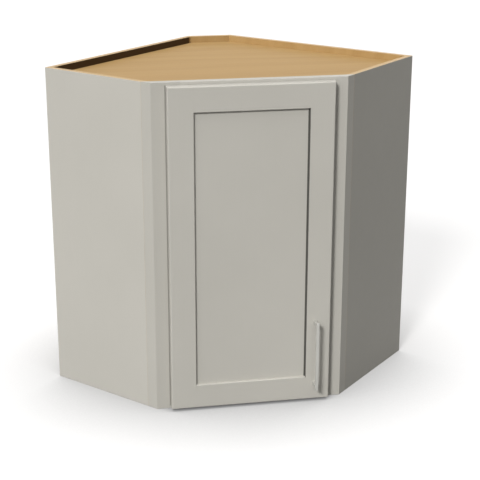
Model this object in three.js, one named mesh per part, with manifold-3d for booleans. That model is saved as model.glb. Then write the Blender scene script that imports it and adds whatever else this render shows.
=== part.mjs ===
// A diagonal corner wall cabinet with a face frame, two shelves and one shaker door, in millimetres.
// +X is to the right, +Y runs back to the room corner and +Z is up. The origin is under the middle
// of the whole cabinet, its pull included, on the plane that the cabinet stands on.
import * as THREE from "three";
import { mergeVertices } from "three/addons/utils/BufferGeometryUtils.js";
import Module from "manifold-3d";

// The box. Its two backs lie on the walls, and its end panels stand out from them.
const wallLeg = 609.6; // each wall's length that the cabinet takes, from the room corner
const sideDepth = 304.8; // an end panel, out from its wall
const cabinetHeight = 762;
const cornerClip = 79.4; // each wall's length that the clipped corner leaves free
const sideThickness = 12.7;
const backThickness = 12.7;
const deckThickness = 12.7; // the top and the bottom
const topRecess = 15.9; // from the rim down to the top deck
const dadoDepth = 6.35; // how far the end panels let the decks and backs in
const glueGap = 0.3; // between boards that meet at an angle
const dadoPlay = 0.2; // a groove's spare width
const stripThickness = 2; // the dark strip above the top deck, on the left back
const stripDrop = 0.6; // its upper edge, below the rim
const stripEndGap = 8; // from each end of the strip to the corner beside it

// The face frame.
const frameThickness = 19.05;
const stileWidth = 63.5;
const railHeight = 38.1;
const tenonThickness = 6.35;
const tenonLength = 12.7;
const tenonShoulder = 6.35; // a rail's height left above and below its tenon
const mortisePlay = 0.2;

// Shelves, which rest on brackets that plug into rows of holes.
const shelfThickness = 19.05;
const shelfSetback = 25.4; // behind the face frame
const shelfPlay = 1.6; // to the walls all round
const holePitch = 50.8;
const holeCount = 10;
const lowestHole = 160; // above the cabinet's underside
const shelfHoles = [2, 7]; // the holes that carry the lower and the upper shelf
const pegRadius = 2.5;
const pegLength = 8;
const holePlay = 0.3; // round a peg
const holeSpare = 1; // past a peg's tip
const frontHoleInset = 74.8; // the end panels' row, back from the frame end of the panel
const wingHoleInset = 166.9; // the backs' row, in from the end panel
const bracketWidth = 9;
const bracketReach = 13;
const bracketDrop = 8; // below the peg's middle
const bracketTop = 6; // above the peg's middle
const bracketThickness = 1.6;

// The door and its panel.
const doorOverlay = 31.75; // how far the door covers the frame all round
const doorGap = 3.175; // between the frame and the door's back
const doorThickness = 19.05;
const doorStileWidth = 57.15;
const doorRailHeight = 57.15;
const doorBevel = 3; // rounding of the outer front edges
const recessEase = 1.2; // chamfer of the front edges round the panel
const panelThickness = 6.35;
const panelRecess = 6.35; // the panel's face, behind the front of its frame
const grooveDepth = 9.5;
const groovePlay = 0.15;
const panelPlay = 1.2; // room for the panel to swell in its grooves
const bumperRadius = 4.75;
const bumperRim = 1.2; // its straight side, under the dome
const bumperInset = 12; // from the door's edges to a bumper's middle

// The pull.
const pullSpacing = 152.4; // between its screws
const pullLength = 165.1;
const pullSection = 7;
const pullProjection = 30;
const pullFromEdge = 36; // its middle, in from the door's right edge
const pullFromBottom = 34.9; // its lower end, above the door's bottom edge
const pullFillet = 1.5; // inner radius where a post joins the bar
const pullEase = 0.6;
const pullScrewRadius = 2;
const pullScrewGrip = 9; // thread inside a post

// Concealed hinges. A bent arm is screwed to the frame's inner edge and pivots inside the cup.
const hingeFromEnd = 88.9; // a hinge's middle, from the door's top or bottom edge
const seatGap = 0.1; // under metal parts that are screwed down
const cupRadius = 17.35;
const cupDepth = 12.8;
const cupPlay = 0.15; // round the cup in its bore
const cupSpare = 0.2; // under the cup
const cupWall = 0.8;
const cupFlange = 1; // the flange, which lies on the door's back
const flangeRadius = 19;
const wingRadius = 5;
const wingScrewSpacing = 45;
const wingScrewOffset = 9.5; // from the cup's middle, away from the door's edge
const armWidth = 11.5;
const armThickness = 1.6;
const armSlotPlay = 0.3; // beside the arm, in the cup's slot
const armCupGap = 1; // between the arm's leg and the well's far wall
const armBend = 2.4; // middle radius of the arm's bend
const armSink = 1.85; // from the pivot to the middle of the arm, deeper in the cup
const armFootGap = 2; // the arm's end, short of the back of the frame
const slotWall = 0.7; // the cup's wall where its slot ends
const slotLength = 8; // from there to where the slot opens into the round well
const eyeRadius = 2.1;
const eyeGap = 0.25; // between the arm's eye and the end of the slot
const pivotAboveFloor = 3.2;
const pivotRadius = 1.2;
const pivotPlay = 0.08;
const pivotLength = 19;
const plateThickness = 1.5;
const plateHeight = 44;
const plateStart = 1.5; // its front edge, behind the frame's front
const plateHook = 14; // its lip on the back of the stile
const plateScrewSpacing = 30;

// Wood screws: radius and length of the shank, radius and height of the head.
const plateScrew = { shank: 1.8, length: 14, head: 3.4, rise: 1.6 };
const armScrew = { shank: 2.2, length: 16, head: 3.8, rise: 2.2 };
const cupScrew = { shank: 1.7, length: 11, head: 3.3, rise: 1.5 };
const screwPlay = 0.3;
const driveRadius = 1.5; // the hexagonal recess in a head
const driveDepth = 1;

// Sides of the round parts, and how far a cutter stands past what it cuts.
const cupSides = 48;
const pinSides = 20;
const shankSides = 12;
const holeSides = 10;
const clear = 1;

// Sizes that follow from the ones above.
const diagonal = Math.SQRT1_2;
const roomCorner = (wallLeg + sideDepth) * diagonal;
const clipFace = roomCorner - cornerClip * diagonal;
const frameHalf = (wallLeg - sideDepth) * diagonal;
const openingHalf = frameHalf - stileWidth;
const bottomDeckTop = railHeight;
const topDeckTop = cabinetHeight - topRecess;
const doorHalf = openingHalf + doorOverlay;
const doorBottom = railHeight - doorOverlay;
const doorTop = cabinetHeight - railHeight + doorOverlay;
const doorBack = -doorGap;
const doorFront = doorBack - doorThickness;
const frontmost = doorFront - pullProjection;
const middleY = (frontmost + clipFace) / 2;
const holeRadius = pegRadius + holePlay;
const holeDepth = pegLength + holeSpare;

const paint = { color: 0xb4b1a9, roughness: 0.45, metalness: 0 };
const maple = { color: 0xc7a67c, roughness: 0.6, metalness: 0 };
const hardboard = { color: 0x3f2b16, roughness: 0.8, metalness: 0 };
const nickel = { color: 0xb9b7b0, roughness: 0.3, metalness: 1 };
const zinc = { color: 0xc4c6c8, roughness: 0.35, metalness: 1 };
const clearRubber = { color: 0xd8d8d2, roughness: 0.5, metalness: 0 };

const wasm = await Module();
wasm.setup();

// A closed geometry as a solid that can be joined and cut.
function solid(geometry) {
  const bare = geometry.clone();
  bare.deleteAttribute("normal");
  bare.deleteAttribute("uv");
  const merged = mergeVertices(bare, 1e-4);
  const vertProperties = new Float32Array(merged.attributes.position.array);
  const triVerts = new Uint32Array(merged.index.array);
  return new wasm.Manifold(new wasm.Mesh({ numProp: 3, vertProperties, triVerts }));
}

// A solid as a geometry with flat faces.
function surface(made) {
  const mesh = made.getMesh();
  const geometry = new THREE.BufferGeometry();
  geometry.setAttribute("position", new THREE.BufferAttribute(mesh.vertProperties, 3));
  geometry.setIndex(new THREE.BufferAttribute(mesh.triVerts, 1));
  const faceted = geometry.toNonIndexed();
  faceted.computeVertexNormals();
  return faceted;
}

// A named mesh of a solid, in a group.
function add(group, name, made, finish) {
  const mesh = new THREE.Mesh(surface(made), new THREE.MeshStandardMaterial(finish));
  mesh.name = name;
  group.add(mesh);
  return mesh;
}

function shapeOf(outline) {
  return new THREE.Shape(outline.map(([x, y]) => new THREE.Vector2(x, y)));
}

// A flat outline drawn out by a depth, with square edges.
function extruded(outline, depth) {
  return new THREE.ExtrudeGeometry(shapeOf(outline), { depth, bevelEnabled: false });
}

// A plan outline raised from one height to another.
function upright(outline, low, high) {
  return solid(extruded(outline, high - low).translate(0, 0, low));
}

// A profile drawn as (y, z) and drawn out along x.
function across(profile, left, right) {
  const turn = new THREE.Matrix4().makeBasis(
    new THREE.Vector3(0, 1, 0),
    new THREE.Vector3(0, 0, 1),
    new THREE.Vector3(1, 0, 0),
  );
  return solid(extruded(profile, right - left).applyMatrix4(turn).translate(left, 0, 0));
}

function block(x0, x1, y0, y1, z0, z1) {
  const box = new THREE.BoxGeometry(x1 - x0, y1 - y0, z1 - z0);
  return solid(box.translate((x0 + x1) / 2, (y0 + y1) / 2, (z0 + z1) / 2));
}

// A round bar from one point to another.
function rod(radius, from, to, sides) {
  const along = to.clone().sub(from);
  const bar = new THREE.CylinderGeometry(radius, radius, along.length(), sides);
  const turn = new THREE.Quaternion().setFromUnitVectors(
    new THREE.Vector3(0, 1, 0),
    along.clone().normalize(),
  );
  const middle = from.clone().add(to).multiplyScalar(0.5);
  return solid(bar.applyQuaternion(turn).translate(middle.x, middle.y, middle.z));
}

// A screw whose head sits at a point and whose shank runs from there along a direction.
function screw(size, seat, direction) {
  const at = (depth) => seat.clone().addScaledVector(direction, depth);
  return rod(size.shank, at(-size.rise / 2), at(size.length), shankSides)
    .add(rod(size.head, at(-size.rise), at(0), pinSides))
    .subtract(rod(driveRadius, at(-size.rise - clear), at(driveDepth - size.rise), 6));
}

// The hole that a screw of this size needs.
function screwHole(size, seat, direction) {
  const start = seat.clone().addScaledVector(direction, -size.rise);
  const end = seat.clone().addScaledVector(direction, size.length + screwPlay);
  return rod(size.shank + screwPlay, start, end, shankSides);
}

// A plan point given along a wall from the room corner and out from that wall. side is -1 or 1.
function wallPoint(side, along, out) {
  return [side * (along - out) * diagonal, roomCorner - (along + out) * diagonal];
}

// The cabinet's plan, drawn in by a distance at its front, its ends, its backs and its clipped corner.
// It runs round from the right front corner. The first point is where the end's line meets the front's.
function planRing({ front, end, back, clip }) {
  const along = wallLeg - end;
  const half = [
    [along / diagonal - roomCorner + front, front],
    wallPoint(1, along, back),
    wallPoint(1, (roomCorner - clipFace + clip) / diagonal - back, back),
  ];
  const mirrored = half.map(([x, y]) => [-x, y]).reverse();
  return [...half, ...mirrored];
}

// Rows of holes for the shelf brackets: where each row stands on its board, and which way it faces.
const insideWing = wallLeg - sideThickness;
const frameEnd = (roomCorner - frameThickness) / diagonal - insideWing;
const holeRows = [-1, 1].flatMap((side) => {
  const label = side < 0 ? "left" : "right";
  const [endX, endY] = wallPoint(side, insideWing, frameEnd - frontHoleInset);
  const [backX, backY] = wallPoint(side, insideWing - wingHoleInset, backThickness);
  const slant = (side * Math.PI) / 4;
  return [
    { board: `${label}_side`, x: endX, y: endY, turn: Math.PI / 2 + slant },
    { board: `${label}_back`, x: backX, y: backY, turn: -Math.PI / 2 - slant },
  ];
});
holeRows.push({ board: "corner_back", x: 0, y: clipFace - backThickness, turn: -Math.PI / 2 });

// The peg holes of one board, as one solid to cut away.
function pegHoles(board) {
  const row = holeRows.find((each) => each.board === board);
  const facing = new THREE.Vector3(Math.cos(row.turn), Math.sin(row.turn), 0);
  const holes = Array.from({ length: holeCount }, (_, k) => {
    const mouth = new THREE.Vector3(row.x, row.y, lowestHole + k * holePitch);
    const inner = mouth.clone().addScaledVector(facing, -holeDepth);
    return rod(holeRadius, mouth.addScaledVector(facing, clear), inner, holeSides);
  });
  return holes.reduce((all, hole) => all.add(hole));
}

// End panels, let in for both decks and rebated for the backs.
function endPanel(side) {
  const outerEnd = (roomCorner - frameThickness) / diagonal - wallLeg - glueGap;
  const panel = upright(
    [
      wallPoint(side, wallLeg, 0),
      wallPoint(side, wallLeg, outerEnd),
      wallPoint(side, insideWing, outerEnd + sideThickness),
      wallPoint(side, insideWing, 0),
    ],
    0,
    cabinetHeight,
  );
  const floor = insideWing + dadoDepth;
  const channel = (outFrom, outTo, low, high) =>
    upright(
      [
        wallPoint(side, floor, outFrom),
        wallPoint(side, floor, outTo),
        wallPoint(side, insideWing - clear, outTo),
        wallPoint(side, insideWing - clear, outFrom),
      ],
      low,
      high,
    );
  const frontStop = outerEnd + sideThickness + clear;
  const label = side < 0 ? "left_side" : "right_side";
  const dado = (top) => channel(0, frontStop, top - deckThickness - dadoPlay, top + dadoPlay);
  return panel
    .subtract(channel(-clear, backThickness + dadoPlay, -clear, cabinetHeight + clear))
    .subtract(dado(bottomDeckTop))
    .subtract(dado(topDeckTop))
    .subtract(pegHoles(label));
}

// A back, from the rebate in its end panel to a mitre at the clipped corner.
function backPanel(side) {
  const end = sideThickness - dadoDepth + glueGap;
  const outer = planRing({ front: 0, end, back: 0, clip: 0 });
  const inner = planRing({ front: 0, end, back: backThickness, clip: backThickness });
  const [far, near] = side > 0 ? [1, 2] : [4, 3];
  const panel = upright([outer[far], inner[far], inner[near], outer[near]], 0, cabinetHeight);
  return panel.subtract(pegHoles(side < 0 ? "left_back" : "right_back"));
}

// The board across the clipped corner, mitred to both backs.
function cornerPanel() {
  const outer = planRing({ front: 0, end: 0, back: 0, clip: 0 });
  const inner = planRing({ front: 0, end: 0, back: backThickness, clip: backThickness });
  const shorten = ([x, y]) => [x - Math.sign(x) * glueGap, y];
  const panel = upright([outer[2], inner[2], inner[3], outer[3]].map(shorten), 0, cabinetHeight);
  return panel.subtract(pegHoles("corner_back"));
}

// The top or bottom deck, let into the end panels.
function deck(top) {
  const end = sideThickness - dadoDepth + glueGap;
  const inset = backThickness + glueGap;
  const outline = planRing({ front: frameThickness, end, back: inset, clip: inset });
  return upright(outline, top - deckThickness, top);
}

// The dark strip on the left back, in the well above the top deck.
function darkStrip() {
  const inner = planRing({ front: 0, end: sideThickness, back: backThickness, clip: backThickness });
  const [wing, corner] = [inner[4], inner[3]];
  const run = new THREE.Vector2(corner[0] - wing[0], corner[1] - wing[1]);
  const length = run.length();
  const ahead = run.normalize();
  const inward = new THREE.Vector2(ahead.y, -ahead.x);
  const at = (along, out) => [
    wing[0] + ahead.x * along + inward.x * out,
    wing[1] + ahead.y * along + inward.y * out,
  ];
  const outline = [
    at(stripEndGap, seatGap),
    at(stripEndGap, stripThickness),
    at(length - stripEndGap, stripThickness),
    at(length - stripEndGap, seatGap),
  ];
  return upright(outline, topDeckTop, cabinetHeight - stripDrop);
}

// A frame stile, whose outer edge is bevelled flush with the end panel, mortised for both rails.
function frameStile(side) {
  const outline = [
    [side * openingHalf, 0],
    [side * frameHalf, 0],
    [side * (frameHalf + frameThickness), frameThickness],
    [side * openingHalf, frameThickness],
  ];
  const middle = frameThickness / 2;
  const [y0, y1] = [-1, 1].map((s) => middle + s * (tenonThickness / 2 + mortisePlay));
  const [x0, x1] = [openingHalf - clear, openingHalf + tenonLength + mortisePlay]
    .map((x) => side * x)
    .sort((a, b) => a - b);
  const mortise = (low, high) =>
    block(x0, x1, y0, y1, low + tenonShoulder - mortisePlay, high - tenonShoulder + mortisePlay);
  return upright(outline, 0, cabinetHeight)
    .subtract(mortise(0, railHeight))
    .subtract(mortise(cabinetHeight - railHeight, cabinetHeight));
}

function frameRail(low) {
  const high = low + railHeight;
  const middle = frameThickness / 2;
  const reach = openingHalf + tenonLength;
  const [y0, y1] = [middle - tenonThickness / 2, middle + tenonThickness / 2];
  const body = block(-openingHalf, openingHalf, 0, frameThickness, low, high);
  return body.add(block(-reach, reach, y0, y1, low + tenonShoulder, high - tenonShoulder));
}

function shelf(bottom) {
  const inset = backThickness + shelfPlay;
  const outline = planRing({
    front: frameThickness + shelfSetback,
    end: sideThickness + shelfPlay,
    back: inset,
    clip: inset,
  });
  return upright(outline, bottom, bottom + shelfThickness);
}

// A shelf bracket: an L with a gusset, on a peg. Its wall face is x = 0 and it faces +x.
function bracket() {
  const profile = [
    [0, -bracketDrop],
    [bracketThickness, -bracketDrop],
    [bracketReach, bracketTop - bracketThickness],
    [bracketReach, bracketTop],
    [0, bracketTop],
  ];
  const form = extruded(profile, bracketWidth).rotateX(Math.PI / 2);
  const body = solid(form.translate(glueGap, bracketWidth / 2, 0));
  const wall = glueGap + bracketThickness;
  const side = bracketWidth / 2 - bracketThickness;
  const underside = bracketTop - bracketThickness;
  const hollow = block(wall, wall + bracketReach, -side, side, -bracketDrop - clear, underside);
  const tip = new THREE.Vector3(-pegLength, 0, 0);
  return body.subtract(hollow).add(rod(pegRadius, tip, new THREE.Vector3(wall, 0, 0), shankSides));
}

// A slab over a front view of the door, from half its width and its lowest to its highest edge.
// It is drawn in by ease and grows to its full size over a depth of ease at both faces. y is its middle.
function easedSlab(half, low, high, thickness, ease, y, bevelSegments) {
  const shape = shapeOf([
    [-half + ease, low + ease],
    [half - ease, low + ease],
    [half - ease, high - ease],
    [-half + ease, high - ease],
  ]);
  const slab = new THREE.ExtrudeGeometry(shape, {
    depth: thickness - 2 * ease,
    bevelSize: ease,
    bevelThickness: ease,
    bevelSegments,
  });
  return solid(slab.rotateX(Math.PI / 2).translate(0, y + thickness / 2 - ease, 0));
}

// The door's outer form, rounded over at the front only, because its back lies inside the slab.
function doorBlank() {
  const thickness = doorThickness + 2 * doorBevel;
  return easedSlab(doorHalf, doorBottom, doorTop, thickness, doorBevel, doorFront + thickness / 2, 3);
}

// What the chamfer round the panel cuts off the stiles and rails, with mitred corners.
function recessCut() {
  const half = doorHalf - doorStileWidth + recessEase;
  const low = doorBottom + doorRailHeight - recessEase;
  const high = doorTop - doorRailHeight + recessEase;
  const thickness = 2 * recessEase + clear;
  return easedSlab(half, low, high, thickness, recessEase, doorFront + recessEase - thickness / 2, 1);
}

// Where the groove for the panel lies in the door's thickness.
const panelFront = doorFront + panelRecess;
const panelBack = panelFront + panelThickness;
const grooveFront = panelFront - groovePlay;
const grooveBack = panelBack + groovePlay;
const hingeHeights = { lower: doorBottom + hingeFromEnd, upper: doorTop - hingeFromEnd };
const pullX = doorHalf - pullFromEdge;
const pullEnd = (pullLength - pullSpacing) / 2; // from a screw to the bar's end
const pullHeights = [0, pullSpacing].map((rise) => doorBottom + pullFromBottom + pullEnd + rise);

function doorStile(side, blank, recess) {
  const edge = doorHalf - doorStileWidth;
  const outline = [
    [edge, doorBack],
    [doorHalf, doorBack],
    [doorHalf, doorFront],
    [edge, doorFront],
    [edge, grooveFront],
    [edge + grooveDepth, grooveFront],
    [edge + grooveDepth, grooveBack],
    [edge, grooveBack],
  ].map(([x, y]) => [side * x, y]);
  let stile = upright(outline, doorBottom, doorTop).intersect(blank).subtract(recess);
  if (side < 0) {
    for (const height of Object.values(hingeHeights)) {
      stile = stile.subtract(cupCuts(height));
    }
    return stile;
  }
  for (const height of pullHeights) {
    const start = new THREE.Vector3(pullX, doorBack + clear, height);
    const end = new THREE.Vector3(pullX, doorFront - clear, height);
    stile = stile.subtract(rod(pullScrewRadius + screwPlay, start, end, shankSides));
  }
  return stile;
}

// A door rail, grooved for the panel, with a tongue at each end that fills the stile's groove.
function doorRail(upper, blank, recess) {
  const outer = upper ? doorTop : doorBottom;
  const inward = upper ? -1 : 1;
  const inner = outer + inward * doorRailHeight;
  const bed = inner - inward * grooveDepth;
  const profile = [
    [doorBack, outer],
    [doorFront, outer],
    [doorFront, inner],
    [grooveFront, inner],
    [grooveFront, bed],
    [grooveBack, bed],
    [grooveBack, inner],
    [doorBack, inner],
  ];
  const half = doorHalf - doorStileWidth;
  const reach = half + grooveDepth - panelPlay;
  const [low, high] = [outer, bed].sort((a, b) => a - b);
  const body = across(profile, -half, half).intersect(blank).subtract(recess);
  return body.add(block(-reach, reach, panelFront, panelBack, low, high));
}

function doorPanel() {
  const tuck = grooveDepth - panelPlay;
  const half = doorHalf - doorStileWidth + tuck;
  const low = doorBottom + doorRailHeight - tuck;
  const high = doorTop - doorRailHeight + tuck;
  return block(-half, half, panelFront, panelBack, low, high);
}

// A rubber dome that keeps the closed door off the frame.
function bumper(height) {
  const rise = doorGap - seatGap - bumperRim;
  const steps = 4;
  const profile = [new THREE.Vector2(0, 0), new THREE.Vector2(bumperRadius, 0)];
  for (let k = 0; k <= steps; k += 1) {
    const angle = (k / steps) * (Math.PI / 2);
    const across = k < steps ? bumperRadius * Math.cos(angle) : 0;
    profile.push(new THREE.Vector2(across, bumperRim + rise * Math.sin(angle)));
  }
  const dome = new THREE.LatheGeometry(profile, pinSides);
  return solid(dome.translate(doorHalf - bumperInset, doorBack, height));
}

// The pull: a square bar on two posts set in from its ends, cast in one piece and drilled for its screws.
function pull() {
  const half = pullLength / 2 - pullEase;
  const outside = (pullSpacing + pullSection) / 2 - pullEase;
  const inside = (pullSpacing - pullSection) / 2 + pullEase;
  const front = pullProjection - pullEase;
  const behind = pullProjection - pullSection + pullEase;
  const quarter = Math.PI / 2;
  const shape = new THREE.Shape();
  shape.moveTo(pullEase, -outside);
  shape.lineTo(behind, -outside);
  shape.lineTo(behind, -half);
  shape.lineTo(front, -half);
  shape.lineTo(front, half);
  shape.lineTo(behind, half);
  shape.lineTo(behind, outside);
  shape.lineTo(pullEase, outside);
  shape.lineTo(pullEase, inside);
  shape.absarc(behind - pullFillet, inside - pullFillet, pullFillet, quarter, 0, true);
  shape.absarc(behind - pullFillet, pullFillet - inside, pullFillet, 0, -quarter, true);
  shape.lineTo(pullEase, -inside);
  const bar = new THREE.ExtrudeGeometry(shape, {
    depth: pullSection - 2 * pullEase,
    bevelSize: pullEase,
    bevelThickness: pullEase,
    bevelSegments: 2,
    curveSegments: 5,
  });
  const upward = new THREE.Matrix4().makeBasis(
    new THREE.Vector3(0, -1, 0),
    new THREE.Vector3(0, 0, 1),
    new THREE.Vector3(-1, 0, 0),
  );
  const right = pullX + pullSection / 2 - pullEase;
  const middle = (pullHeights[0] + pullHeights[1]) / 2;
  let made = solid(bar.applyMatrix4(upward).translate(right, doorFront, middle));
  for (const height of pullHeights) {
    const start = new THREE.Vector3(pullX, doorFront + clear, height);
    const end = new THREE.Vector3(pullX, doorFront - pullScrewGrip - clear, height);
    made = made.subtract(rod(pullScrewRadius + screwPlay, start, end, shankSides));
  }
  return made;
}

// Hinge parts. Each is made for a hinge whose middle is at height 0, and raised to its place.
// The plate lies on the frame's inner edge, the arm's leg on the plate, and the cup goes round it.
const forward = new THREE.Vector3(0, -1, 0);
const intoStile = new THREE.Vector3(-1, 0, 0);
const chord = (radius, offset) => Math.sqrt(radius * radius - offset * offset);
const plateFace = -openingHalf + seatGap + plateThickness;
const legX = plateFace + seatGap + armThickness / 2;
const legFace = legX + armThickness / 2;
const wellRadius = cupRadius - cupWall;
const wellFloor = doorBack - cupDepth + cupWall;
const slotHalf = armWidth / 2 + armSlotPlay;
const cupX = legFace + armCupGap - chord(wellRadius, armWidth / 2);
const slotX = cupX - chord(cupRadius, slotHalf) + slotWall;
const pivot = new THREE.Vector2(slotX + eyeGap + eyeRadius, wellFloor + pivotAboveFloor);
const screwRow = frameThickness / 2;
const armScrewSeat = new THREE.Vector3(legFace + seatGap, screwRow, 0);
const plateScrewSeats = [-1, 1].map(
  (s) => new THREE.Vector3(plateFace + seatGap, screwRow, (s * plateScrewSpacing) / 2),
);
const cupScrewSeats = [-1, 1].map((s) => {
  const seatY = doorBack + cupFlange + 2 * seatGap;
  return new THREE.Vector3(cupX + wingScrewOffset, seatY, (s * wingScrewSpacing) / 2);
});

// What the cup and its two screws need cut out of the door, at a height.
function cupCuts(height) {
  const floor = doorBack - cupDepth - cupSpare;
  const bore = roundY(cupRadius + cupPlay, floor, doorBack + clear, cupSides);
  return bore.add(cupScrewHoles()).translate(0, 0, height);
}

function cupScrewHoles() {
  const [low, high] = cupScrewSeats.map((seat) => screwHole(cupScrew, seat, forward));
  return low.add(high);
}

// A round bar along y round the cup's middle, or round another point of its plan.
function roundY(radius, y0, y1, sides, x = cupX, z = 0) {
  return rod(radius, new THREE.Vector3(x, y0, z), new THREE.Vector3(x, y1, z), sides);
}

// A round bar along the hinge's pivot.
function roundPivot(radius, length) {
  const end = new THREE.Vector3(pivot.x, pivot.y, length / 2);
  return rod(radius, end.clone().setZ(-length / 2), end, pinSides);
}

// The cup: a die-cast well with a slot for the arm, and a flange with two wings.
function hingeCup() {
  const flangeBed = doorBack + seatGap;
  const flangeTop = flangeBed + cupFlange;
  const above = flangeTop + clear;
  const wingX = cupX + wingScrewOffset;
  const wingZ = wingScrewSpacing / 2;
  const waist = (flangeRadius - wingScrewOffset) / 2;
  const wing = (z) => roundY(wingRadius, flangeBed, flangeTop, pinSides, wingX, z);
  const slotOpens = slotX + slotLength;
  const [below, beyond] = [wellFloor - clear, above + clear];
  const beside = block(cupX - cupRadius, slotOpens, below, beyond, -cupRadius, cupRadius);
  const well = roundY(wellRadius, wellFloor, above, cupSides).subtract(beside);
  const slot = block(slotX, slotOpens + clear, wellFloor, above, -slotHalf, slotHalf);
  return roundY(cupRadius, doorBack - cupDepth, flangeBed + cupFlange / 2, cupSides)
    .add(roundY(flangeRadius, flangeBed, flangeTop, cupSides))
    .add(block(wingX - waist, wingX + waist, flangeBed, flangeTop, -wingZ, wingZ))
    .add(wing(-wingZ))
    .add(wing(wingZ))
    .subtract(well)
    .subtract(slot)
    .subtract(roundPivot(pivotRadius + pivotPlay, pivotLength + 2 * pivotPlay))
    .subtract(cupScrewHoles());
}

// The outline of sheet metal bent along a route of corner points.
function bentSheet(route, thickness, bend) {
  const line = [route[0]];
  const steps = 4;
  for (let i = 1; i < route.length - 1; i += 1) {
    const before = route[i].clone().sub(route[i - 1]).normalize();
    const after = route[i + 1].clone().sub(route[i]).normalize();
    const angle = Math.acos(before.dot(after));
    const turn = Math.sign(before.cross(after));
    const start = route[i].clone().addScaledVector(before, -bend * Math.tan(angle / 2));
    const centre = start.clone().add(new THREE.Vector2(-before.y, before.x).multiplyScalar(bend * turn));
    for (let k = 0; k <= steps; k += 1) {
      line.push(start.clone().rotateAround(centre, (turn * angle * k) / steps));
    }
  }
  line.push(route[route.length - 1]);
  const sides = [1, -1].map((s) =>
    line.map((point, i) => {
      const previous = line[Math.max(i - 1, 0)];
      const next = line[Math.min(i + 1, line.length - 1)];
      const ahead = next.clone().sub(previous).normalize();
      return [point.x - (s * ahead.y * thickness) / 2, point.y + (s * ahead.x * thickness) / 2];
    }),
  );
  return [...sides[0], ...sides[1].reverse()];
}

// The arm: an eye round the pivot, a run across the cup, and a leg along the frame's inner edge.
function hingeArm() {
  const half = armWidth / 2;
  const runY = pivot.y - armSink;
  const route = [
    new THREE.Vector2(pivot.x, runY),
    new THREE.Vector2(legX, runY),
    new THREE.Vector2(legX, frameThickness - armFootGap),
  ];
  return upright(bentSheet(route, armThickness, armBend), -half, half)
    .add(block(pivot.x, pivot.x + eyeRadius, runY, pivot.y, -half, half))
    .add(roundPivot(eyeRadius, armWidth))
    .subtract(roundPivot(pivotRadius + pivotPlay, 2 * armWidth))
    .subtract(screwHole(armScrew, armScrewSeat, intoStile));
}

// The plate: it lies on the stile's inner edge and hooks round to the stile's back.
function hingePlate() {
  const bed = frameThickness + seatGap;
  const inner = plateFace - plateThickness;
  const outline = [
    [inner, plateStart],
    [plateFace, plateStart],
    [plateFace, bed + plateThickness],
    [inner - plateHook, bed + plateThickness],
    [inner - plateHook, bed],
    [inner, bed],
  ];
  let plate = upright(outline, -plateHeight / 2, plateHeight / 2);
  for (const seat of plateScrewSeats) {
    plate = plate.subtract(screwHole(plateScrew, seat, intoStile));
  }
  return plate.subtract(screwHole(armScrew, armScrewSeat, intoStile));
}

// The screw holes that both hinges need in the frame's left stile.
function stileScrewHoles() {
  const raised = Object.values(hingeHeights).flatMap((height) => {
    const up = new THREE.Vector3(0, 0, height);
    return [
      screwHole(armScrew, armScrewSeat.clone().add(up), intoStile),
      ...plateScrewSeats.map((seat) => screwHole(plateScrew, seat.clone().add(up), intoStile)),
    ];
  });
  return raised.reduce((all, hole) => all.add(hole));
}

// Assembly.
const cabinet = new THREE.Group();
cabinet.position.y = -middleY;
const carcass = new THREE.Group();
const door = new THREE.Group();
cabinet.add(carcass, door);

add(carcass, "left_side_panel", endPanel(-1), paint);
add(carcass, "right_side_panel", endPanel(1), paint);
add(carcass, "left_back_panel", backPanel(-1), maple);
add(carcass, "right_back_panel", backPanel(1), maple);
add(carcass, "corner_back_panel", cornerPanel(), maple);
add(carcass, "bottom_deck", deck(bottomDeckTop), maple);
add(carcass, "top_deck", deck(topDeckTop), maple);
add(carcass, "left_back_dark_strip", darkStrip(), hardboard);
add(carcass, "frame_left_stile", frameStile(-1).subtract(stileScrewHoles()), paint);
add(carcass, "frame_right_stile", frameStile(1), paint);
add(carcass, "frame_bottom_rail", frameRail(0), paint);
add(carcass, "frame_top_rail", frameRail(cabinetHeight - railHeight), paint);

const bracketSolid = bracket();
for (const [level, name] of ["lower", "upper"].entries()) {
  const holeHeight = lowestHole + shelfHoles[level] * holePitch;
  add(carcass, `${name}_shelf`, shelf(holeHeight + bracketTop), maple);
  for (const row of holeRows) {
    const mesh = add(carcass, `${name}_shelf_bracket_${row.board}`, bracketSolid, nickel);
    mesh.position.set(row.x, row.y, holeHeight);
    mesh.rotation.z = row.turn;
  }
}

const blank = doorBlank();
const recess = recessCut();
add(door, "door_left_stile", doorStile(-1, blank, recess), paint);
add(door, "door_right_stile", doorStile(1, blank, recess), paint);
add(door, "door_bottom_rail", doorRail(false, blank, recess), paint);
add(door, "door_top_rail", doorRail(true, blank, recess), paint);
add(door, "door_panel", doorPanel(), paint);
add(door, "pull", pull(), nickel);
add(door, "lower_bumper", bumper(doorBottom + bumperInset), clearRubber);
add(door, "upper_bumper", bumper(doorTop - bumperInset), clearRubber);

const pullScrew = {
  shank: pullScrewRadius,
  length: doorThickness + pullScrewGrip,
  head: pullScrewRadius * 2,
  rise: pullScrewRadius,
};
for (const [k, name] of ["lower", "upper"].entries()) {
  const seat = new THREE.Vector3(pullX, doorBack + seatGap, pullHeights[k]);
  add(door, `${name}_pull_screw`, screw(pullScrew, seat, forward), zinc);
}

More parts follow.
